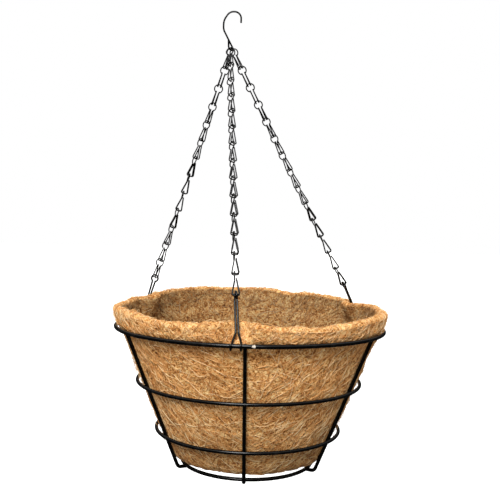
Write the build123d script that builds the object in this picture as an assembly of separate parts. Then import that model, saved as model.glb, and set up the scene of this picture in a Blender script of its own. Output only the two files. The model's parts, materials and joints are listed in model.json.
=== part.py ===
"""Wire hanging basket: a welded conical frame with a felt liner, hung by three chains from one hook.

The frame of reference has its origin where the hook's crook bears on its support, with +Z up.
The basket hangs below it. Azimuths are measured from the front (-Y) towards +X, in degrees.
"""
from build123d import *
import math
import os

# ---- Basket frame (millimetres) ----
RIM_RADIUS = 172.5          # centre line of the top ring
RIM_WIRE = 5.0
HOOP_WIRE = 4.5
RIB_WIRE = 4.5
UPPER_HOOP_DROP = 69.0      # below the rim
LOWER_HOOP_DROP = 131.0
BASE_DROP = 173.0
BASE_RING_RADIUS = 84.5
RIB_CORNER_RADIUS = 96.5    # distance from the axis to a rib's bottom corner
RIB_AZIMUTHS = (-1.7, 61.0, 120.0, 179.0, -121.5, -62.0)    # hand-set, so not quite even
RIB_BEND = 6.0
RIB_TOP_RISE = 1.2          # a rib ends this far above the rim's centre line
WELD_DEPTH = 0.35           # how far two welded wires sink into each other
RIB_LINE_ROUNDS = 6         # the rib's slope settles in this many rounds

# ---- Liner ----
LINER_WALL = 9.0
LINER_GAP = 0.35            # between the liner and the ribs it rests in
LIP_RISE = 28.0             # lip above the rim's centre line
LIP_FLARE = 2.5             # lip beyond the rim's centre line
LINER_BASE_GAP = 9.0        # free height under the liner, above the base ring
LINER_LIFT = 10.0           # the liner can be raised this far before the clips stop it
DENT_RADIUS = 34.0
DENT_CLEARANCE = 0.8
DENT_LENGTH = 110.0

# ---- Chain link: one wire bent into a ring, two legs and a folded foot ----
LINK_WIRE = 1.6
LINK_PITCH = 25.2
LINK_RING_RADIUS = 5.4
LEG_GAP = 4.0               # between the two legs' centre lines
FOOT_BACK = 3.3             # foot behind the ring's plane
FOOT_FRONT = 5.4            # folded side of the foot in front of the ring's plane
FOOT_BEND = 2.0
NECK_BEND = 1.2
STUB_DROP = 3.4             # the folded ends stop this far below the ring's centre
STUB_FRONT = 2.1
HANG_CLEARANCE = 0.5        # between two wires that hang in each other

# ---- Clip: a hairpin with an eye at its top and a foot hooked round the rim on each side ----
CLIP_WIRE = 2.4
CLIP_LENGTH = 58.0          # eye centre to the rim's centre line
EYE_RADIUS = 4.6
EYE_CLEARANCE = 0.3
EYE_SHIFT = 1.0             # eye towards the middle of the foot that it hangs on
EYE_DRIFT = 1.3             # the eye's turn steps sideways so that its legs pass each other
EYE_NECK_GAP = 3.2
EYE_NECK_BEND = 1.35
CLIP_LEG_GAP = 3.0
CLIP_FOOT_SPREAD = 11.0
CLIP_FLARE_HEIGHT = 16.0
CLIP_FOOT_CLEARANCE = 0.7
CLIP_FOOT_STRAIGHT = 3.0
CLIP_TIP_RISE = 0.6         # a foot's cut end stands this far above the rim's centre line
CLIP_BEND = 5.0

# ---- Hook ----
HOOK_WIRE = 2.3
HOOK_HEIGHT = 51.2          # centre line of the lower bend to centre line of the crook's top
CROOK_LEFT = 11.5           # crook's far side, from the lower bend's middle
CROOK_RIGHT = 11.7
CROOK_TOP_X = 2.2           # where the support bears
CROOK_BEND = 9.0
SHANK_TOP_HEIGHT = 27.2
SHANK_BEND = 12.0
SHOULDER_HEIGHT = 39.5
SHOULDER_BEND = 18.0
CROWN_BEND = 10.0
SHOULDER_X = 3.5
CROOK_TIP_HEIGHT = 36.6
LOWER_BEND_WIDTH = 16.6
LOWER_BEND_AZIMUTH = -27.0  # the way the lower bend points, from its shank side to its free end
LOWER_BEND_CORNER = 3.5
LOWER_TAIL_HEIGHT = 11.0
LOWER_TAIL_LEAN = 1.1
RING_SPACING = 3.7          # between the chains' first rings on the lower bend

# ---- Chains: name, links, rim azimuth, place on the hook, twist of the first and the last link ----
CHAINS = (
    {"name": "front", "links": 14, "azimuth": -4.9, "slot": 1.3, "twist": (155.0, 92.0)},
    {"name": "left", "links": 13, "azimuth": -117.0, "slot": 0, "twist": (-14.0, 160.0)},
    {"name": "right", "links": 14, "azimuth": 115.0, "slot": -1, "twist": (-20.0, 98.0)},
)

# A ring is drawn as a polygon with rounded corners; the share keeps a short flat between them.
POLYGON_STEP = 30.0
POLYGON_CORNERS = 10
FIRST_CORNER = -45.0        # degrees, below the side that the neck starts from
NECK_ANGLE = 60.0           # slope of the ring where it runs into its neck
CORNER_SHARE = 0.92

UP = Vector(0, 0, 1)


def unit(vector):
    return vector.normalized()


def square_to(vector, direction):
    """The part of a vector at right angles to a unit direction, made one long."""
    return unit(vector - direction * vector.dot(direction))


def outward(azimuth):
    """Horizontal unit vector away from the basket's axis."""
    angle = math.radians(azimuth)
    return Vector(math.sin(angle), -math.cos(angle), 0)


def along_rim(azimuth):
    """Horizontal unit vector along the rim, towards growing azimuth."""
    angle = math.radians(azimuth)
    return Vector(math.cos(angle), math.sin(angle), 0)


def wire(points, radii, diameter):
    """Round wire along straight runs joined by arcs."""
    path = FilletPolyline(*points, radius=radii)
    section = Plane(origin=path @ 0, z_dir=path % 0) * Circle(diameter / 2)
    return sweep(section, path=path)


def keyhole(centre, across, up, radius, neck_gap, drift=Vector(0, 0, 0)):
    """Corner points of an open ring with its neck below, and the points where its legs start.

    The ring lies in the plane of across and up. Along the way round, it shifts sideways from
    +drift to -drift.
    """
    reach = radius / math.cos(math.radians(POLYGON_STEP / 2))
    corners = []
    for index in range(POLYGON_CORNERS):
        angle = math.radians(FIRST_CORNER + POLYGON_STEP * index)
        shift = drift * (1 - 2 * index / (POLYGON_CORNERS - 1))
        spoke = across * math.cos(angle) + up * math.sin(angle)
        corners.append(centre + spoke * reach + shift)
    half = neck_gap / 2
    slope = math.radians(NECK_ANGLE)
    depth = (radius - half * math.cos(slope)) / math.sin(slope)
    first = centre + across * half - up * depth + drift
    last = centre - across * half - up * depth - drift
    return first, corners, last


# ---- Derived sizes ----
def rib_line():
    """Radius of the ribs' centre line at the rim and its loss per millimetre of drop.

    A rib's line runs to its bottom corner and touches the rim from inside, so its distance from
    the rim's centre line, measured square to the rib, is half of both wires less the weld.
    """
    seat = (RIM_WIRE + RIB_WIRE) / 2 - WELD_DEPTH
    slope = (RIM_RADIUS - RIB_CORNER_RADIUS) / BASE_DROP
    for _ in range(RIB_LINE_ROUNDS):
        top = RIM_RADIUS - seat * math.sqrt(1 + slope * slope)
        slope = (top - RIB_CORNER_RADIUS) / BASE_DROP
    return top, slope


RIB_TOP_RADIUS, RIB_SLOPE = rib_line()
RIB_STRETCH = math.sqrt(1 + RIB_SLOPE * RIB_SLOPE)


def hoop_radius(drop):
    """A hoop lies outside the ribs and touches them at its own height."""
    seat = (HOOP_WIRE + RIB_WIRE) / 2 - WELD_DEPTH
    return RIB_TOP_RADIUS - RIB_SLOPE * drop + seat * RIB_STRETCH


INNER_RING = LINK_RING_RADIUS - LINK_WIRE / 2
HOOK_SEAT = INNER_RING - HOOK_WIRE / 2 - HANG_CLEARANCE
FOOT_SEAT = math.sqrt((INNER_RING - LINK_WIRE / 2 - HANG_CLEARANCE) ** 2 - (LEG_GAP / 2) ** 2)
FOOT_DROP = LINK_PITCH - FOOT_SEAT
EYE_INNER = EYE_RADIUS - CLIP_WIRE / 2
EYE_SEAT = math.sqrt((EYE_INNER - LINK_WIRE / 2 - EYE_CLEARANCE) ** 2 - (LEG_GAP / 2) ** 2)

# Middle of the hook's lower bend, below the place where the support bears.
APEX = Vector(-CROOK_TOP_X, 0, -(HOOK_HEIGHT - HOOK_WIRE / 2))
BEND_DIRECTION = outward(LOWER_BEND_AZIMUTH)


def chain_length(chain):
    """From the hook's lower bend to the rim's centre line."""
    links = (chain["links"] - 1) * LINK_PITCH + FOOT_DROP
    return HOOK_SEAT + links + EYE_SEAT + CLIP_LENGTH


def rim_centre():
    """Centre of the rim: the point from which all three chains reach their places on the rim.

    Three spheres about the chains' places on the rim, each shifted by its ring's place on the hook,
    meet at the lower bend. The rim is level, so that meeting point gives the rim's centre.
    """
    points = []
    for chain in CHAINS:
        on_rim = outward(chain["azimuth"]) * RIM_RADIUS
        points.append(on_rim - BEND_DIRECTION * (chain["slot"] * RING_SPACING))
    first, second, third = points
    reach = [chain_length(chain) for chain in CHAINS]
    x_axis = unit(second - first)
    span = (second - first).length
    third_x = x_axis.dot(third - first)
    y_axis = unit(third - first - x_axis * third_x)
    third_y = y_axis.dot(third - first)
    x = (reach[0] ** 2 - reach[1] ** 2 + span ** 2) / (2 * span)
    y = (reach[0] ** 2 - reach[2] ** 2 + third_x ** 2 + third_y ** 2 - 2 * third_x * x) / (2 * third_y)
    height = math.sqrt(reach[0] ** 2 - x ** 2 - y ** 2)
    apex_above_rim = first + x_axis * x + y_axis * y + UP * height
    return APEX - apex_above_rim


RIM_CENTRE = rim_centre()


def chain_frame(chain):
    """Start on the hook, direction down the chain and the place on the rim."""
    start = APEX + BEND_DIRECTION * (chain["slot"] * RING_SPACING)
    on_rim = RIM_CENTRE + outward(chain["azimuth"]) * RIM_RADIUS
    return start, unit(on_rim - start), on_rim


def link_twist(chain, index):
    first, last = chain["twist"]
    return first + (last - first) * index / (chain["links"] - 1)


def link_plane(chain, index):
    """Plane of a link's ring: local x across its legs, local y up the chain, local z to its fold."""
    start, down, _ = chain_frame(chain)
    towards_front = square_to(Vector(0, -1, 0), down)
    towards_right = square_to(Vector(1, 0, 0) - towards_front * towards_front.X, down)
    twist = math.radians(link_twist(chain, index))
    normal = towards_front * math.cos(twist) + towards_right * math.sin(twist)
    centre = start + down * (HOOK_SEAT + index * LINK_PITCH)
    normal = square_to(normal, down)
    return Plane(origin=centre, x_dir=(down * -1).cross(normal), z_dir=normal)


# ---- Pieces ----
def make_link():
    first, corners, last = keyhole(
        Vector(0, 0, 0), Vector(1, 0, 0), Vector(0, 1, 0), LINK_RING_RADIUS, LEG_GAP)
    half = LEG_GAP / 2
    right = [
        Vector(half, -STUB_DROP, STUB_FRONT),
        Vector(half, -FOOT_DROP, FOOT_FRONT),
        Vector(half, -FOOT_DROP, -FOOT_BACK),
    ]
    left = [Vector(-point.X, point.Y, point.Z) for point in reversed(right)]
    points = right + [first] + corners + [last] + left
    ring_bends = [LINK_RING_RADIUS * CORNER_SHARE] * len(corners)
    foot_bends = [FOOT_BEND, FOOT_BEND]
    radii = foot_bends + [NECK_BEND] + ring_bends + [NECK_BEND] + foot_bends
    return wire(points, radii, LINK_WIRE)


def make_clip(chain):
    _, down, on_rim = chain_frame(chain)
    tangent = along_rim(chain["azimuth"])
    rim_down = square_to(down, tangent)
    rim_out = square_to(outward(chain["azimuth"]), rim_down)
    leg = CLIP_LEG_GAP / 2
    side = square_to(tangent, down)
    normal = link_plane(chain, chain["links"] - 1).z_dir
    eye_centre = on_rim - down * CLIP_LENGTH + normal * EYE_SHIFT
    across = down.cross(normal)
    if across.dot(side) < 0:
        across = across * -1
    drift = normal * (normal.dot(side) * EYE_DRIFT)
    first, corners, last = keyhole(eye_centre, across, down * -1, EYE_RADIUS, EYE_NECK_GAP, drift)
    wrap = (RIM_WIRE + CLIP_WIRE) / 2 + CLIP_FOOT_CLEARANCE
    halves = []
    for sign in (1, -1):
        seat = on_rim + tangent * (sign * CLIP_FOOT_SPREAD / 2)
        halves.append([
            seat + rim_out * wrap - rim_down * CLIP_TIP_RISE,
            seat + rim_out * wrap + rim_down * wrap,
            seat - rim_out * wrap + rim_down * wrap,
            seat - rim_out * wrap - rim_down * CLIP_FOOT_STRAIGHT,
            on_rim + side * (sign * leg) - rim_out * leg - rim_down * CLIP_FLARE_HEIGHT,
        ])
    points = halves[0] + [first] + corners + [last] + list(reversed(halves[1]))
    foot_bends = [wrap * CORNER_SHARE, wrap * CORNER_SHARE, CLIP_BEND, CLIP_BEND]
    eye_bends = [EYE_NECK_BEND] + [EYE_RADIUS * CORNER_SHARE] * len(corners) + [EYE_NECK_BEND]
    return wire(points, foot_bends + eye_bends + list(reversed(foot_bends)), CLIP_WIRE)


def make_hook():
    half = BEND_DIRECTION * (LOWER_BEND_WIDTH / 2)
    points = [
        APEX + half * LOWER_TAIL_LEAN + UP * LOWER_TAIL_HEIGHT,
        APEX + half,
        APEX - half,
        APEX + Vector(-CROOK_LEFT, 0, SHANK_TOP_HEIGHT),
        APEX + Vector(-CROOK_LEFT, 0, SHOULDER_HEIGHT),
        APEX + Vector(-SHOULDER_X, 0, HOOK_HEIGHT),
        APEX + Vector(CROOK_RIGHT, 0, HOOK_HEIGHT),
        APEX + Vector(CROOK_RIGHT, 0, CROOK_TIP_HEIGHT),
    ]
    radii = [LOWER_BEND_CORNER, LOWER_BEND_CORNER, SHANK_BEND, SHOULDER_BEND, CROWN_BEND, CROOK_BEND]
    return wire(points, radii, HOOK_WIRE)


def make_ring(radius, drop, diameter):
    return Pos(RIM_CENTRE - UP * drop) * Torus(radius, diameter / 2)


def make_rib(azimuth):
    out = outward(azimuth)
    top_radius = RIB_TOP_RADIUS + RIB_SLOPE * RIB_TOP_RISE
    foot_radius = BASE_RING_RADIUS + HOOP_WIRE / 2 - WELD_DEPTH
    points = [
        RIM_CENTRE + out * top_radius + UP * RIB_TOP_RISE,
        RIM_CENTRE + out * RIB_CORNER_RADIUS - UP * BASE_DROP,
        RIM_CENTRE + out * foot_radius - UP * BASE_DROP,
    ]
    return wire(points, [RIB_BEND], RIB_WIRE)


def make_liner():
    """Felt bowl: a cone inside the ribs, a lip that flares over the rim and a dent at each clip."""
    seat = (RIB_WIRE / 2 + LINER_GAP) * RIB_STRETCH
    bottom = BASE_DROP - HOOP_WIRE / 2 - LINER_BASE_GAP
    rim_radius = RIB_TOP_RADIUS - seat
    base_radius = rim_radius - RIB_SLOPE * bottom
    lip_radius = RIM_RADIUS + LIP_FLARE
    shoulder = (RIM_WIRE + RIB_WIRE) / 2
    outer = Polyline((0, -bottom), (base_radius, -bottom), (rim_radius, 0), (rim_radius, shoulder),
                     (lip_radius, LIP_RISE / 2), (lip_radius, LIP_RISE), (0, LIP_RISE), close=True)
    wall = LINER_WALL
    top = LIP_RISE + wall
    inner = Polyline((0, wall - bottom), (base_radius - wall, wall - bottom), (rim_radius - wall, 0),
                     (rim_radius - wall, shoulder), (lip_radius - wall, LIP_RISE / 2),
                     (lip_radius - wall, top), (0, top), close=True)
    shell = revolve(Plane.XZ * make_face(outer), Axis.Z)
    hollow = revolve(Plane.XZ * make_face(inner), Axis.Z)
    for chain in CHAINS:
        _, down, on_rim = chain_frame(chain)
        out = square_to(outward(chain["azimuth"]), down)
        lift_room = LINER_LIFT * math.hypot(down.X, down.Y) / -down.Z
        inset = CLIP_LEG_GAP / 2 + CLIP_WIRE + DENT_CLEARANCE + lift_room
        middle = on_rim - RIM_CENTRE + out * (DENT_RADIUS - inset) - down * LIP_RISE
        place = Plane(origin=middle, z_dir=down * -1)
        shell -= place * Cylinder(DENT_RADIUS, DENT_LENGTH)
        hollow -= place * Cylinder(DENT_RADIUS + wall, DENT_LENGTH + 2 * top)
    return Pos(RIM_CENTRE) * (shell - hollow)


def build_pieces():
    pieces = {
        "hook": make_hook(),
        "rim_ring": make_ring(RIM_RADIUS, 0, RIM_WIRE),
        "upper_hoop": make_ring(hoop_radius(UPPER_HOOP_DROP), UPPER_HOOP_DROP, HOOP_WIRE),
        "lower_hoop": make_ring(hoop_radius(LOWER_HOOP_DROP), LOWER_HOOP_DROP, HOOP_WIRE),
        "base_ring": make_ring(BASE_RING_RADIUS, BASE_DROP, HOOP_WIRE),
        "coir_liner": make_liner(),
    }
    for index, azimuth in enumerate(RIB_AZIMUTHS, 1):
        pieces[f"rib_{index}"] = make_rib(azimuth)
    link = make_link()
    for chain in CHAINS:
        name = chain["name"]
        for index in range(chain["links"]):
            pieces[f"{name}_chain_link_{index + 1:02d}"] = link_plane(chain, index) * link
        pieces[f"{name}_clip"] = make_clip(chain)
    return pieces


def main():
    os.makedirs("parts", exist_ok=True)
    for name, piece in build_pieces().items():
        solids = piece.solids()
        shape = solids[0] if len(solids) == 1 else Compound(children=solids)
        export_step(shape, f"parts/{name}.step")


if __name__ == "__main__":
    main()
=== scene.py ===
"""Looks of the wire hanging basket: felted coir liner, black coated wire, chain and hook.

All is in metres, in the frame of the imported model. Azimuths turn about the basket's axis, from the
front (-Y) towards +X. Heights are measured from the middle of the rim's wire.
"""
import json
import math

import bpy
import numpy as np
from mathutils import Matrix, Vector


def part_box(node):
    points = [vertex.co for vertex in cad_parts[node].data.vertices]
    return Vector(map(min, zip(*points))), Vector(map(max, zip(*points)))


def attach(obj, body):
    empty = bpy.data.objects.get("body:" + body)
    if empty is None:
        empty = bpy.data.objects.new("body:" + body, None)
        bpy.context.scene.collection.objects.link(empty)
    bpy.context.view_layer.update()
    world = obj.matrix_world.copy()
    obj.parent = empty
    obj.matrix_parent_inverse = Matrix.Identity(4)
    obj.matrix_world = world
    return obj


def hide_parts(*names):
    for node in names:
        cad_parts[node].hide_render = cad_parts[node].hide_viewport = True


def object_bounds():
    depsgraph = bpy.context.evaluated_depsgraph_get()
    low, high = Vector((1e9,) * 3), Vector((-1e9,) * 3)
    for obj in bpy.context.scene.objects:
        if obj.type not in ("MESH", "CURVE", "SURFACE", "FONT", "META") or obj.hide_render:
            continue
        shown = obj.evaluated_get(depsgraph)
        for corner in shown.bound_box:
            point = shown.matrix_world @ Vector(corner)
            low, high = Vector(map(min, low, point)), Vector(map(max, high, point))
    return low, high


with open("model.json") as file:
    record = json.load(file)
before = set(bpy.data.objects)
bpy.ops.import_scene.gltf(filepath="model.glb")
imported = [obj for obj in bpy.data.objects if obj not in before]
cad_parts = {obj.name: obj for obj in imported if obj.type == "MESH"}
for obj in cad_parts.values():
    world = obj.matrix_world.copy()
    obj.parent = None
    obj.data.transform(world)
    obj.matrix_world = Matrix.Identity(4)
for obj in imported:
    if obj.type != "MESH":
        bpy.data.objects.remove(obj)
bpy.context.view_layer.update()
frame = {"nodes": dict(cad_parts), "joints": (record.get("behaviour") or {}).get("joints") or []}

MM = 0.001
TURN = 2 * math.pi


# ---- Places read from the frame ----
def box_middle(node):
    low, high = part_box(node)
    return np.array((low + high) / 2)


RIM_MIDDLE = box_middle("rim_ring")
HANGING_POINT = np.array(next(j for j in frame["joints"] if j["name"] == "basket_swing")["pos_m"])


def azimuth_of(point):
    return math.atan2(point[0] - RIM_MIDDLE[0], RIM_MIDDLE[1] - point[1])


def ring_facts(node):
    """Radius of a ring's centre line, its height and its wire's thickness."""
    low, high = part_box(node)
    wire = high.z - low.z
    return (high.x - low.x - wire) / 2, (high.z + low.z) / 2 - RIM_MIDDLE[2], wire


RINGS = {name: ring_facts(name) for name in ("rim_ring", "upper_hoop", "lower_hoop", "base_ring")}
RIBS = [azimuth_of(box_middle(name)) for name in sorted(frame["nodes"]) if name.startswith("rib_")]
RIM_RADIUS, _, RIM_WIRE = RINGS["rim_ring"]
RIB_WIRE = RINGS["upper_hoop"][2]


def clip_facts(node):
    """Azimuth where a clip holds the rim, and how far it leans inwards per metre of height.

    The clip lies on the straight line from the hanging point to its place on the rim.
    """
    run = box_middle(node) - HANGING_POINT
    foot = HANGING_POINT + run * (RIM_MIDDLE[2] - HANGING_POINT[2]) / run[2]
    out = (foot - RIM_MIDDLE)[:2]
    lean = -run[:2] @ out / np.linalg.norm(out) / run[2]
    return azimuth_of(foot), lean


CLIPS = [clip_facts(name) for name in ("front_clip", "left_clip", "right_clip")]

# ---- Sizes of the felt ----
FELT_FROM_HOOP = 6.75 * MM      # felt's face to a hoop's centre line, square to the wall
FELT_THICKNESS = 9 * MM
FELT_SAG = 2.5 * MM             # its bottom hangs this far under the stiff shell
LIP_SHOULDER = 3 * MM           # over the rim by this much, the felt is free of the ribs
LIP_TURN = 7 * MM               # height in which it comes out from behind the ribs
LIP_LEAN = 0.26                 # above that it leans out by this share of its height
LIP_WAVE = 0.8 * MM             # seven shallow waves round the lip
RIM_GAP = 0.4 * MM              # between the felt and the inside of the rim's wire
CLIP_ROOM = 8.0 * MM            # felt behind a clip's middle line, with room to lift the liner
DENT_HALF_WIDTH = 14 * MM
CREASE = 1.8 * MM               # the felt puckers up on both sides of a dent
CREASE_PLACE = 1.6              # a pucker's middle and its width, in half widths of a dent
CREASE_WIDTH = 0.28
BULGE = 2.0 * MM                # the felt stands out between two ribs
RIM_BULGE = 3.2 * MM            # and fills the space between two ribs behind the rim
HELD_BACK = 0.15 * MM           # it may stand out this far under a wire
FREE_BETWEEN = 3.4 * MM         # and this far between the ribs, short of the hoops
NEAR_RIB = (3 * MM, 16 * MM)    # held back up to the first distance, free after the second more
NEAR_CLIP = (7 * MM, 10 * MM)
CORNER = 9 * MM
INWARD_BULGE = 0.3              # share of the outer bulge by which the inner face follows
LUMPS = ((0.9 * MM, 17 * MM, 1), (0.55 * MM, 7 * MM, 2))    # height, size and seed
TANGLE = 0.4 * MM, 4.2 * MM, 3

# Rise of the lip over the rim, azimuth in degrees to millimetres: low at the front, high at the back.
LIP_RISES = {
    -170: 37.0, -150: 37.5, -138: 34.5, -128: 31.0, -118: 31.5, -108: 27.5, -98: 24.5, -85: 25.0,
    -75: 26.0, -60: 27.0, -50: 25.5, -42: 22.5, -32: 20.5, -20: 21.0, -15: 24.8, -4: 23.2, 2: 23.6,
    9: 20.5, 30: 19.0, 44: 22.0, 56: 25.5, 72: 26.5, 88: 24.5, 103: 27.0, 112: 27.5, 128: 29.0,
    147: 33.5, 161: 31.5, 171: 37.5,
}

# Painted shade of the felt: share of brightness on the outer face by height, darker towards the base, and
# of the inner face, in the bowl's shade.
PAINTED_SHADE_BY_HEIGHT = ((-165 * MM, 0.5), (-131 * MM, 0.72), (-100 * MM, 0.86), (-45 * MM, 1.0))
INNER_PAINTED_SHADE = 0.51


def smooth(share):
    share = np.clip(share, 0, 1)
    return share * share * (3 - 2 * share)


def turned(azimuth, middle):
    """Signed angle from a middle azimuth, between minus and plus half a turn."""
    return (azimuth - middle + math.pi) % TURN - math.pi


def soft_noise(points, size, seed):
    """Smooth random value, -1 to 1: random numbers on a cubic lattice, blended between its corners."""
    cells = 64
    lattice = np.random.default_rng(seed).uniform(-1, 1, (cells,) * 3)
    corner = np.floor(points / size).astype(int)
    share = smooth(points / size - corner)
    total = np.zeros(points.shape[:-1])
    for step in np.ndindex(2, 2, 2):
        weight = np.prod(np.where(step, share, 1 - share), axis=-1)
        x, y, z = np.moveaxis((corner + step) % cells, -1, 0)
        total += weight * lattice[x, y, z]
    return total


# ---- Shape of the felt bowl ----
UPPER_RADIUS, UPPER_HEIGHT, _ = RINGS["upper_hoop"]
LOWER_RADIUS, LOWER_HEIGHT, _ = RINGS["lower_hoop"]
WALL_SLOPE = (UPPER_RADIUS - LOWER_RADIUS) / (UPPER_HEIGHT - LOWER_HEIGHT)
FELT_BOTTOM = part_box("coir_liner")[0].z - RIM_MIDDLE[2] - FELT_SAG
COLUMNS = 440
ROWS = {"underside": 14, "heel": 7, "outside": 82, "lip": 13, "inside": 70, "corner": 7, "floor": 13}


def wall_radius(height):
    """Outer face of the felt: the cone inside the ribs."""
    on_hoops = UPPER_RADIUS + WALL_SLOPE * (height - UPPER_HEIGHT)
    return on_hoops - FELT_FROM_HOOP * math.hypot(1, WALL_SLOPE)


def lip_rise(azimuths):
    """Height of the lip: straight lines between the set places, softened by a moving mean."""
    places = np.array(sorted(LIP_RISES))
    values = np.array([LIP_RISES[place] for place in places])
    rise = np.interp(np.degrees(azimuths), places, values, period=360)
    window = np.hanning(11)
    padded = np.concatenate([rise[-5:], rise, rise[:5]])
    return np.convolve(padded, window / window.sum(), "valid") * MM


def outer_radius(height, azimuth):
    """The cone up to the rim, a steeper lip that stands free over it, and a dent behind each clip.

    A dent blends towards the clip's leaning line by one over one plus the fourth power of the
    distance along the rim.
    """
    free = smooth((height + 1 * MM) / LIP_TURN)
    lip = RIM_RADIUS - RIM_WIRE / 2 - RIM_GAP + LIP_LEAN * height + LIP_WAVE * np.sin(7 * azimuth)
    radius = wall_radius(height) * (1 - free) + lip * free
    for clip, lean in CLIPS:
        along = RIM_RADIUS * turned(azimuth, clip) / DENT_HALF_WIDTH
        held = RIM_RADIUS - lean * height - CLIP_ROOM
        radius = np.minimum(radius, radius + (held - radius) / (1 + along ** 4))
        crease = np.exp(-((np.abs(along) - CREASE_PLACE) / CREASE_WIDTH) ** 2)
        radius = radius + CREASE * crease * free
    return radius


def curve(start, corner, end, count):
    """Rounded corner: quadratic curve between two points, pulled towards a third."""
    share = (np.arange(count) / count)[:, None]
    return [(1 - share) ** 2 * a + 2 * share * (1 - share) * b + share ** 2 * c
            for a, b, c in zip(start, corner, end)]


def felt_section(azimuth):
    """Radius and height of the felt, row by row, round its closed section, for all azimuths.

    From the middle of the underside out to the heel, up the outside, over the round lip, down the
    inside and in over the floor.
    """
    flat = np.zeros_like(azimuth)
    rise = lip_rise(azimuth)
    top = rise - FELT_THICKNESS / 2
    heel = wall_radius(FELT_BOTTOM)
    floor = FELT_BOTTOM + FELT_THICKNESS
    inner_heel = wall_radius(floor) - FELT_THICKNESS
    low, inner_low = FELT_BOTTOM + CORNER, floor + 2 * CORNER

    def steps(name, start, end):
        share = (np.arange(ROWS[name]) / ROWS[name])[:, None]
        return start + (end - start) * share

    underside = (steps("underside", 0.03, 1) * (heel - CORNER) + flat,
                 FELT_BOTTOM + steps("underside", flat, 0))
    bend = curve((heel - CORNER + flat, FELT_BOTTOM + flat), (heel + flat, FELT_BOTTOM + flat),
                 (wall_radius(low) + flat, low + flat), ROWS["heel"])
    height = steps("outside", low + flat, top)
    outside = outer_radius(height, azimuth), height
    turn = math.pi * steps("lip", 0, 1)
    crown = outer_radius(top, azimuth) - FELT_THICKNESS / 2
    lip = crown + FELT_THICKNESS / 2 * np.cos(turn), top + FELT_THICKNESS / 2 * np.sin(turn)
    height = steps("inside", top, inner_low + flat)
    inside = outer_radius(height, azimuth) - FELT_THICKNESS, height
    inner_end = wall_radius(inner_low) - FELT_THICKNESS
    inner_bend = curve((inner_end + flat, inner_low + flat), (inner_heel + flat, floor + flat),
                       (inner_heel - 2 * CORNER + flat, floor + flat), ROWS["corner"])
    spread = steps("floor", 1, 0)
    ground = spread * (inner_heel - 2 * CORNER) + flat, floor + steps("floor", flat, 0)
    parts = [underside, bend, outside, lip, inside, inner_bend, ground]
    return [np.concatenate([part[axis] for part in parts]) for axis in (0, 1)]


def grid_normals(points):
    """Unit normals of a grid closed round its columns: its two directions' cross product."""
    around = np.roll(points, -1, 1) - np.roll(points, 1, 1)
    along = np.gradient(points, axis=0)
    normals = np.cross(around, along)
    return normals / np.linalg.norm(normals, axis=-1, keepdims=True)


def room_outside(radius, height, azimuth):
    """How far the felt may stand out: hardly at a rib or a clip, more between them."""
    room = np.full(radius.shape, FREE_BETWEEN)
    for rib in RIBS:
        across = np.abs(radius * turned(azimuth, rib))
        near = HELD_BACK + FREE_BETWEEN * smooth((across - NEAR_RIB[0]) / NEAR_RIB[1])
        room = np.minimum(room, near)
    room = np.where(height > LIP_SHOULDER + 2 * MM, FREE_BETWEEN, room)
    for clip, _ in CLIPS:
        across = np.abs(radius * turned(azimuth, clip))
        near = HELD_BACK + FREE_BETWEEN * smooth((across - NEAR_CLIP[0]) / NEAR_CLIP[1])
        room = np.where(height > -8 * MM, np.minimum(room, near), room)
    return room


def felt_bowl():
    """Grid of points and normals of the felt, with its bulges between the ribs and its lumps."""
    azimuth = np.arange(COLUMNS) / COLUMNS * TURN
    radius, height = felt_section(azimuth)
    points = np.stack([radius * np.sin(azimuth), -radius * np.cos(azimuth), height], -1)
    normals = grid_normals(points)
    outer_rows = ROWS["underside"] + ROWS["heel"] + ROWS["outside"]
    is_outside = np.arange(len(points))[:, None] < outer_rows
    panel = np.sin(len(RIBS) / 2 * (azimuth - RIBS[0])) ** 2
    share = np.clip(1 - (height / FELT_BOTTOM * 2 - 1) ** 2, 0, 1)
    at_rim = smooth((height + 20 * MM) / (20 * MM)) * smooth(-height / LIP_SHOULDER + 1)
    bulge = (BULGE * share + RIM_BULGE * at_rim) * panel * np.where(is_outside, 1, -INWARD_BULGE)
    lumps = sum(tall * soft_noise(points, size, seed) for tall, size, seed in LUMPS)
    tall, size, seed = TANGLE
    tangle = tall * (1 - 2 * np.abs(soft_noise(points, size, seed)))
    room = np.where(is_outside, room_outside(radius, height, azimuth), FREE_BETWEEN)
    stand = np.minimum(bulge + lumps + tangle, room)
    points = points + normals * stand[..., None] + RIM_MIDDLE
    return points, grid_normals(points), room


def felt_painted_shade(points):
    """Painted shade of the felt: full brightness outside, less towards the base, and least on the inner
    face.

    It stands in for the shade inside the bowl and on its down-turned lower wall.
    """
    height = (points - RIM_MIDDLE)[..., 2]
    outside = np.interp(height, *zip(*PAINTED_SHADE_BY_HEIGHT))
    turn = ROWS["underside"] + ROWS["heel"] + ROWS["outside"] + ROWS["lip"] * 0.75
    inner = smooth((np.arange(len(points))[:, None] - turn) / 4)
    return outside * (1 - inner) + INNER_PAINTED_SHADE * inner


def grid_faces(rows, columns):
    """Quads of a grid whose columns close into a ring."""
    row, column = np.mgrid[0:rows - 1, 0:columns]
    here = row * columns + column
    beside = row * columns + (column + 1) % columns
    return np.stack([here, beside, beside + columns, here + columns], -1).reshape(-1, 4).tolist()


# ---- Materials ----
def linear(code):
    """Colour from its sRGB hex value."""
    values = [int(code[i:i + 2], 16) / 255 for i in (0, 2, 4)]
    return [v / 12.92 if v <= 0.04045 else ((v + 0.055) / 1.055) ** 2.4 for v in values] + [1]


def add_node(tree, kind, settings=None, **inputs):
    """A shader node with its settings and its inputs: a socket links, anything else is a value."""
    node = tree.nodes.new(kind)
    for name, value in (settings or {}).items():
        setattr(node, name, value)
    for name, value in inputs.items():
        socket = node.inputs[int(name[1:]) if name[1:].isdigit() else name.replace("_", " ")]
        if isinstance(value, bpy.types.NodeSocket):
            tree.links.new(value, socket)
        else:
            socket.default_value = value
    return node


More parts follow.
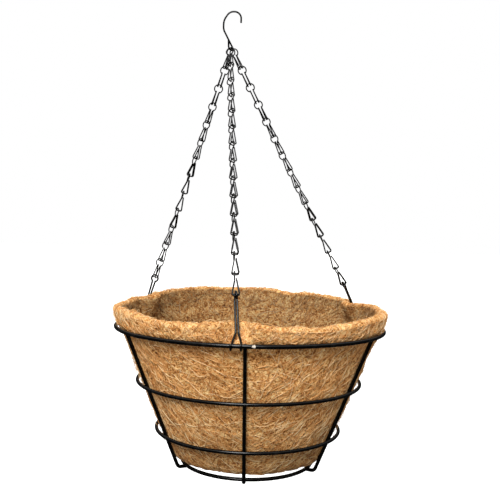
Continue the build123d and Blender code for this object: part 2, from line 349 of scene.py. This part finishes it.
def noise(tree, places, size, detail, **inputs):
    """Noise with lumps of a real size."""
    return add_node(tree, "ShaderNodeTexNoise", None, Vector=places, Scale=1 / size, Detail=detail,
                    **inputs)


def math_node(tree, operation, *values):
    inputs = {f"_{place}": value for place, value in enumerate(values)}
    return add_node(tree, "ShaderNodeMath", {"operation": operation}, **inputs).outputs[0]


def new_material(name):
    material = bpy.data.materials.new(name)
    material.use_nodes = True
    material.node_tree.nodes.clear()
    return material, material.node_tree


def finish_material(material, shader):
    tree = material.node_tree
    add_node(tree, "ShaderNodeOutputMaterial", None, Surface=shader.outputs["BSDF"])
    return material


def ramp(tree, factor, stops):
    """Colour ramp from places to hex colours."""
    node = add_node(tree, "ShaderNodeValToRGB", None, Fac=factor)
    while len(node.color_ramp.elements) < len(stops):
        node.color_ramp.elements.new(0.5)
    for element, (place, code) in zip(node.color_ramp.elements, stops):
        element.position = place
        element.color = linear(code)
    return node.outputs["Color"]


# Real fibres are about a third of a millimetre thick; these lines are drawn two to three times as wide.
LINE_SHARE = 0.085
FIBRE_LAYERS = (    # size, bend and seed
    (14 * MM, 1.2, 0.3), (11 * MM, 2.0, 1.1), (8 * MM, 1.0, 2.3), (6 * MM, 2.5, 3.7),
)


def fibre_lines(tree, places, size, bend, seed):
    """Thin curly lines of one size: where a warped noise passes its middle value."""
    moved = add_node(tree, "ShaderNodeMapping", None, Vector=places,
                     Location=(seed, seed * 1.7, seed * 0.6), Rotation=(seed, seed * 0.5, seed * 1.3))
    warped = noise(tree, moved.outputs[0], size, 1.5, Distortion=bend)
    away = math_node(tree, "ABSOLUTE", math_node(tree, "SUBTRACT", warped.outputs["Fac"], 0.5))
    line = add_node(tree, "ShaderNodeMapRange", {"interpolation_type": "SMOOTHSTEP"},
                    Value=away, From_Min=0.0, From_Max=LINE_SHARE, To_Min=1.0, To_Max=0.0)
    return line.outputs["Result"]


def colour_with_painted_shade(tree, colour):
    """A colour made darker by the piece's painted shade."""
    painted_shade = add_node(tree, "ShaderNodeAttribute", {"attribute_name": "painted_shade"})
    return add_node(tree, "ShaderNodeVectorMath", {"operation": "SCALE"}, _0=colour,
                    Scale=painted_shade.outputs["Fac"]).outputs[0]


def coir_felt():
    """Needled coconut-fibre felt: matt tangle of golden fibres, with painted shade in the dark gaps
    between them.
    """
    material, tree = new_material("needled_coir_felt")
    places = add_node(tree, "ShaderNodeTexCoord").outputs["Object"]
    layers = [fibre_lines(tree, places, *layer) for layer in FIBRE_LAYERS]
    tangle = layers[0]
    for lines in layers[1:]:
        tangle = math_node(tree, "ADD", tangle, lines)
    crumb = noise(tree, places, 2.2 * MM, 3.0)
    patch = noise(tree, places, 38 * MM, 3.0)
    # The colour follows the bump's height: the darkness of the low gaps is painted shade, while the fibre
    # lines and patches are the felt's own tone.
    depth = math_node(tree, "MULTIPLY_ADD", tangle, 0.3, crumb.outputs["Fac"])
    gap_shade_and_patches = math_node(tree, "MULTIPLY_ADD", patch.outputs["Fac"], 0.55, depth)
    spread = add_node(tree, "ShaderNodeMapRange", None, Value=gap_shade_and_patches, From_Min=0.5, From_Max=1.45)
    colour = ramp(tree, spread.outputs["Result"],
                  [(0.0, "3A1C08"), (0.3, "8E5420"), (0.55, "CC8A46"), (0.8, "ECB26C"), (1.0, "FBD494")])
    bump = add_node(tree, "ShaderNodeBump", None, Height=depth, Strength=1.0, Distance=0.9 * MM)
    # The painted shade attribute darkens the felt towards its base and on its inner face.
    shader = add_node(tree, "ShaderNodeBsdfPrincipled", None, Base_Color=colour_with_painted_shade(tree, colour),
                      Roughness=0.85, Normal=bump.outputs["Normal"])
    shader.inputs["Specular IOR Level"].default_value = 0.25
    return finish_material(material, shader)


def coir_strand():
    """Single coconut fibres: stiff, a little shiny, from rust brown to pale straw."""
    material, tree = new_material("single_coir_fibres")
    shade = add_node(tree, "ShaderNodeAttribute", {"attribute_name": "shade"})
    colour = ramp(tree, shade.outputs["Fac"],
                  [(0.0, "703A14"), (0.35, "BC7836"), (0.7, "EAAE68"), (1.0, "FFE0AC")])
    # The fibres are darkened by the same painted shade as the felt under them.
    shader = add_node(tree, "ShaderNodeBsdfPrincipled", None, Base_Color=colour_with_painted_shade(tree, colour),
                      Roughness=0.5)
    return finish_material(material, shader)


def coated_wire(name, dark, gloss):
    """Steel wire in thick black dip coating: glossy, with an uneven skin and dusty scuffs."""
    material, tree = new_material(name)
    places = add_node(tree, "ShaderNodeTexCoord").outputs["Object"]
    skin = noise(tree, places, 3 * MM, 2.0)
    scuff = noise(tree, places, 11 * MM, 4.0)
    worn = add_node(tree, "ShaderNodeMapRange", None, Value=scuff.outputs["Fac"], From_Min=0.55,
                    From_Max=0.8)
    colour = ramp(tree, worn.outputs["Result"], [(0.0, dark), (1.0, "161616")])
    rough = add_node(tree, "ShaderNodeMapRange", None, Value=scuff.outputs["Fac"], From_Min=0.3,
                     From_Max=0.8, To_Min=gloss, To_Max=gloss + 0.2)
    bump = add_node(tree, "ShaderNodeBump", None, Height=skin.outputs["Fac"], Strength=0.5,
                    Distance=0.12 * MM)
    shader = add_node(tree, "ShaderNodeBsdfPrincipled", None, Base_Color=colour,
                      Roughness=rough.outputs["Result"], Normal=bump.outputs["Normal"])
    shader.inputs["Specular IOR Level"].default_value = 0.3
    return finish_material(material, shader)


def weld_with_painted_glint():
    """Pale zinc-grey weld metal with a satin grain; its pale colour is a painted highlight for the glint
    on the rim.
    """
    material, tree = new_material("pale_weld_painted_glint")
    places = add_node(tree, "ShaderNodeTexCoord").outputs["Object"]
    grain = noise(tree, places, 1.2 * MM, 3.0)
    colour = ramp(tree, grain.outputs["Fac"], [(0.3, "8E8578"), (0.7, "EDE4D4")])
    shader = add_node(tree, "ShaderNodeBsdfPrincipled", None, Base_Color=colour, Roughness=0.45)
    return finish_material(material, shader)


# ---- Pieces ----
def add_piece(name, points, faces, body, material):
    """Smooth mesh piece at the origin, riding on a body and its finish."""
    mesh = bpy.data.meshes.new(name)
    mesh.from_pydata(points.reshape(-1, 3).tolist(), [], faces)
    mesh.shade_smooth()
    mesh.materials.append(material)
    piece = bpy.data.objects.new(name, mesh)
    bpy.context.scene.collection.objects.link(piece)
    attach(piece, body)
    return piece


def set_attribute(piece, name, values):
    attribute = piece.data.attributes.new(name, "FLOAT", "POINT")
    attribute.data.foreach_set("value", values.astype(np.float32))


def make_felt(points, material):
    """The felt bowl: its grid, closed at the middle of the underside and of the floor."""
    rows, columns = points.shape[:2]
    faces = grid_faces(rows, columns)
    first, last = rows * columns, rows * columns + 1
    end = (rows - 1) * columns
    for column in range(columns):
        beside = (column + 1) % columns
        faces.append([first, beside, column])
        faces.append([end + column, end + beside, last])
    poles = np.array([points[0].mean(0), points[-1].mean(0)])
    piece = add_piece("coir_felt_bowl", np.concatenate([points.reshape(-1, 3), poles]), faces, "liner",
                      material)
    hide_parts("coir_liner")
    # Painted shade: the felt is darker towards its base and on its inner face, where the bowl is in shade.
    painted_shade = np.concatenate([felt_painted_shade(points).reshape(-1), [PAINTED_SHADE_BY_HEIGHT[0][1], INNER_PAINTED_SHADE]])
    set_attribute(piece, "painted_shade", painted_shade)


def on_grid(grid, row, column):
    """Values of a grid between its points, straight between neighbours, closed round its columns."""
    row = np.clip(row, 0, grid.shape[0] - 1.001)
    low_row, low_column = np.floor(row).astype(int), np.floor(column).astype(int)
    up, over = row - low_row, column - low_column
    if grid.ndim == 3:
        up, over = up[..., None], over[..., None]
    left, right = low_column % grid.shape[1], (low_column + 1) % grid.shape[1]
    below = grid[low_row, left] * (1 - over) + grid[low_row, right] * over
    above = grid[low_row + 1, left] * (1 - over) + grid[low_row + 1, right] * over
    return below * (1 - up) + above * up


STRAND_STEPS = 6
STRAND_SIDES = 3


def strand_tubes(path, normals, radius):
    """Three-sided tubes along paths, thinner at both ends.

    The section's corners stand at even angles between the felt's normal and the tube's side.
    """
    tangent = np.gradient(path, axis=1)
    tangent /= np.linalg.norm(tangent, axis=-1, keepdims=True)
    side = np.cross(tangent, normals)
    side /= np.linalg.norm(side, axis=-1, keepdims=True)
    lift = np.cross(side, tangent)
    taper = 0.35 + 0.65 * np.sin(math.pi * np.linspace(0, 1, STRAND_STEPS))
    turn = (TURN * np.arange(STRAND_SIDES) / STRAND_SIDES)[None, None, :, None]
    offset = lift[:, :, None] * np.cos(turn) + side[:, :, None] * np.sin(turn)
    return path[:, :, None] + offset * (radius[:, None] * taper)[:, :, None, None]


def strand_faces(count):
    """Quads and end triangles of the tubes."""
    faces = grid_faces(STRAND_STEPS, STRAND_SIDES)
    last = (STRAND_STEPS - 1) * STRAND_SIDES
    size = STRAND_STEPS * STRAND_SIDES
    faces += [[0, 2, 1], [last, last + 1, last + 2]]
    return [[corner + strand * size for corner in face] for strand in range(count) for face in faces]


def make_strands(name, felt, count, rows, length, lift, thickness, shade, seed, material):
    """Fibres that lie on the felt: each walks over its grid with a heading that turns steadily.

    Half of them keep near a main heading, which falls to the right on the left half and rises to
    the right on the right half, the others go any way. A fibre's height over the felt is an arch
    with both ends sunk in.
    """
    points, normals, room = felt
    rng = np.random.default_rng(seed)
    row = rng.uniform(*rows, count)
    column = rng.uniform(0, COLUMNS, count)
    long = rng.uniform(*length, count) * rng.uniform(0.4, 1, count)
    azimuth = turned(column / COLUMNS * TURN, 0)
    main = np.where(azimuth > 0, 0.8, -0.8) + rng.normal(0, 0.3, count)
    heading = np.where(rng.random(count) < 0.5, main, rng.uniform(0, TURN, count))
    bend = rng.normal(0, 18, count)
    across = np.linalg.norm(np.roll(points, -1, 1) - points, axis=-1)
    along = np.linalg.norm(np.gradient(points, axis=0), axis=-1)
    rows_at, columns_at = [], []
    step = long / (STRAND_STEPS - 1)
    for _ in range(STRAND_STEPS):
        rows_at.append(row)
        columns_at.append(column)
        column = column + np.cos(heading) * step / on_grid(across, row, column)
        row = np.clip(row + np.sin(heading) * step / on_grid(along, row, column), *rows)
        heading = heading + bend * step
    row, column = np.stack(rows_at, 1), np.stack(columns_at, 1)
    normal = on_grid(normals, row, column)
    normal /= np.linalg.norm(normal, axis=-1, keepdims=True)
    arch = np.sin(math.pi * np.linspace(0, 1, STRAND_STEPS))
    free = np.clip(on_grid(room, row, column) / FREE_BETWEEN, 0, 1)
    height = (rng.uniform(*lift, count)[:, None] * arch - 0.15 * MM) * free
    radius = rng.uniform(*thickness, count) / 2
    tubes = strand_tubes(on_grid(points, row, column) + normal * height[..., None], normal, radius)
    piece = add_piece(name, tubes, strand_faces(count), "liner", material)
    set_attribute(piece, "shade", np.repeat(rng.uniform(*shade, count), STRAND_STEPS * STRAND_SIDES))
    # The fibres take the painted shade of the felt where they lie.
    painted_shade = on_grid(felt_painted_shade(points), row, column).reshape(-1)
    set_attribute(piece, "painted_shade", np.repeat(painted_shade, STRAND_SIDES))


def make_all_strands(felt, material):
    wall = ROWS["underside"] + ROWS["heel"]
    brim = wall + ROWS["outside"]
    inside = brim + ROWS["lip"]
    floor = inside + ROWS["inside"]
    lying, ruffled, sticking_out = (0.1 * MM, 0.9 * MM), (0.1 * MM, 1.6 * MM), (1.5 * MM, 4.5 * MM)
    fine, coarse = (0.45 * MM, 0.8 * MM), (0.6 * MM, 1.1 * MM)
    # Name, count, rows of the felt's grid, length, height of the arch, thickness and shade.
    sets = (
        ("wall_long_fibres", 4200, (wall - 3, brim), (20 * MM, 62 * MM), lying, coarse, (0.35, 1.0)),
        ("wall_short_fibres", 6000, (wall - 3, brim), (8 * MM, 26 * MM), lying, fine, (0.0, 0.8)),
        ("lip_fibres", 5200, (brim - 12, inside + 8), (6 * MM, 22 * MM), ruffled, fine, (0.4, 1.0)),
        ("inside_fibres", 5600, (inside, floor), (10 * MM, 40 * MM), lying, fine, (0.1, 1.0)),
        ("underside_fibres", 1500, (0.5, wall), (12 * MM, 40 * MM), lying, fine, (0.1, 0.9)),
        ("stray_fibres", 900, (wall + 6, inside + 20), (14 * MM, 40 * MM), sticking_out, fine, (0.5, 1.0)),
    )
    for seed, (name, count, rows, length, lift, thickness, shade) in enumerate(sets, 11):
        make_strands(name, felt, count, rows, length, lift, thickness, shade, seed, material)


def bead(middle, sizes, directions, seed, rows, columns):
    """Lumpy weld bead: an egg of three half sizes along three directions, with soft noise on it."""
    tilt = np.linspace(0, math.pi, rows)[:, None]
    turn = np.arange(columns)[None, :] / columns * TURN
    egg = np.stack([np.sin(tilt) * np.cos(turn), np.sin(tilt) * np.sin(turn),
                    -np.cos(tilt) + 0 * turn], -1)
    egg = egg * (1 + 0.16 * soft_noise(egg + seed * 3.1, 0.8, 5))[..., None]
    return middle + (egg * sizes) @ np.array(directions)


BEAD_ROWS, BEAD_COLUMNS = 9, 12
BEAD_SIZES = np.array([1.7, 1.5, 1.7]) * MM


def make_weld_beads(material):
    """Two beads at every crossing of a rib and a ring, one on each side of the rib."""
    for ring, (radius, height, wire) in RINGS.items():
        points, faces = [], []
        for index, azimuth in enumerate(RIBS):
            out = np.array([math.sin(azimuth), -math.cos(azimuth), 0])
            along = np.array([math.cos(azimuth), math.sin(azimuth), 0])
            inward = 1 if ring == "base_ring" else -1
            touch = RIM_MIDDLE + out * (radius + inward * wire * 0.46) + np.array([0, 0, height])
            for side in (-1, 1):
                middle = touch + along * side * RIB_WIRE * 0.42
                grid = bead(middle, BEAD_SIZES, (along, np.cross(along, [0, 0, -1]), [0, 0, 1]),
                            index * 2 + side, BEAD_ROWS, BEAD_COLUMNS)
                first = sum(len(part) for part in points)
                points.append(grid.reshape(-1, 3))
                faces += [[corner + first for corner in face]
                          for face in grid_faces(BEAD_ROWS, BEAD_COLUMNS)]
        add_piece(f"{ring}_weld_beads", np.concatenate(points), faces, "basket_frame",
                  material)


BUTT_WELD_AZIMUTH = math.radians(1.4)
BUTT_WELD_SIZES = np.array([2.9, 1.2, 1.7]) * MM


def make_butt_weld_with_glint(material):
    """Low bead on the rim's face where the ends of its wire are joined, pale as a painted highlight of the
    glint there.
    """
    azimuth = BUTT_WELD_AZIMUTH
    out = np.array([math.sin(azimuth), -math.cos(azimuth), 0.25])
    along = np.array([math.cos(azimuth), math.sin(azimuth), 0])
    up = np.cross(out, along)
    middle = RIM_MIDDLE + np.array([math.sin(azimuth), -math.cos(azimuth), 0]) * RIM_RADIUS
    middle = middle + out * RIM_WIRE * 0.33
    rows, columns = 13, 20
    grid = bead(middle, BUTT_WELD_SIZES, (along, out, -up), 4, rows, columns)
    add_piece("rim_butt_weld_painted_glint", grid, grid_faces(rows, columns), "basket_frame", material)


def finish_wires():
    frame_wire = coated_wire("black_dip_coated_frame_wire", "030303", 0.16)
    chain_wire = coated_wire("black_coated_chain_wire", "040404", 0.12)
    for name, node in frame["nodes"].items():
        in_frame = name in RINGS or name.startswith("rib_")
        for slot in node.material_slots:
            slot.material = frame_wire if in_frame else chain_wire
    return frame_wire


# ---- Scene ----
CAMERA_PLACE = (-0.0024, -0.908, 0.118)     # from the middle of the rim
CAMERA_LENS = 50.1
CAMERA_TILT_DOWN = math.radians(1.2)
CAMERA_ROLL = math.radians(1.45)
FLOOR_DROP = 0.35                           # under the basket
FLOOR_HALF = 30.0


def make_camera():
    """In front of the basket, a little above its rim, with a slight roll."""
    data = bpy.data.cameras.new("camera")
    data.lens = CAMERA_LENS
    data.sensor_width = 36
    camera = bpy.data.objects.new("camera", data)
    bpy.context.scene.collection.objects.link(camera)
    place = Matrix.Translation(RIM_MIDDLE + np.array(CAMERA_PLACE))
    tilt = Matrix.Rotation(math.pi / 2 - CAMERA_TILT_DOWN, 4, "X")
    roll = Matrix.Rotation(CAMERA_ROLL, 4, "Z")
    camera.matrix_world = place @ tilt @ roll
    bpy.context.scene.camera = camera


def make_light():
    """A wide soft sun from the upper left front, and a white room that is darker below.

    What the glossy wires mirror is a bright ceiling and dark walls.
    """
    data = bpy.data.lights.new("soft_key", "SUN")
    data.energy = 3.3
    data.angle = math.radians(28)
    key = bpy.data.objects.new("soft_key", data)
    key.rotation_euler = (math.radians(50), 0, math.radians(-14))
    bpy.context.scene.collection.objects.link(key)
    world = bpy.data.worlds.new("studio")
    bpy.context.scene.world = world
    world.use_nodes = True
    tree = world.node_tree
    tree.nodes.clear()
    direction = add_node(tree, "ShaderNodeTexCoord").outputs["Generated"]
    height = add_node(tree, "ShaderNodeSeparateXYZ", None, Vector=direction).outputs["Z"]
    strength = add_node(tree, "ShaderNodeMapRange", None, Value=height, From_Min=-0.7, From_Max=0.9,
                        To_Min=0.25, To_Max=0.9)
    mirrored = add_node(tree, "ShaderNodeMapRange", None, Value=height, From_Min=0.25, From_Max=0.8,
                        To_Min=0.03, To_Max=1.2)
    rays = add_node(tree, "ShaderNodeLightPath").outputs
    lit = add_node(tree, "ShaderNodeMix", None, Factor=rays["Is Glossy Ray"],
                   A=strength.outputs["Result"], B=mirrored.outputs["Result"]).outputs["Result"]
    room = add_node(tree, "ShaderNodeBackground", None, Color=(1, 1, 1, 1), Strength=lit)
    behind = add_node(tree, "ShaderNodeBackground", None, Color=(1, 1, 1, 1), Strength=1.0)
    mixed = add_node(tree, "ShaderNodeMixShader", None, Fac=rays["Is Camera Ray"], _1=room.outputs[0],
                     _2=behind.outputs[0])
    add_node(tree, "ShaderNodeOutputWorld", None, Surface=mixed.outputs[0])


def make_floor():
    """Plain pale floor well below the hanging basket."""
    low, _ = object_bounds()
    corners = FLOOR_HALF * np.array([(-1, -1), (1, -1), (1, 1), (-1, 1)])
    mesh = bpy.data.meshes.new("floor")
    mesh.from_pydata([(x, y, low.z - FLOOR_DROP) for x, y in corners], [], [(0, 1, 2, 3)])
    floor = bpy.data.objects.new("floor", mesh)
    bpy.context.scene.collection.objects.link(floor)
    material, tree = new_material("pale_floor")
    shader = add_node(tree, "ShaderNodeBsdfPrincipled", None, Base_Color=linear("F2F2F0"), Roughness=0.9)
    shader.inputs["Emission Color"].default_value = (1, 1, 1, 1)
    shader.inputs["Emission Strength"].default_value = 0.35
    mesh.materials.append(finish_material(material, shader))
    floor.visible_diffuse = False
    floor.visible_glossy = False


bpy.context.scene.view_settings.view_transform = "Standard"
felt = felt_bowl()    # points, normals and room to stand out
make_felt(felt[0], coir_felt())
make_all_strands(felt, coir_strand())
make_weld_beads(finish_wires())
make_butt_weld_with_glint(weld_with_painted_glint())
make_camera()
make_light()
make_floor()
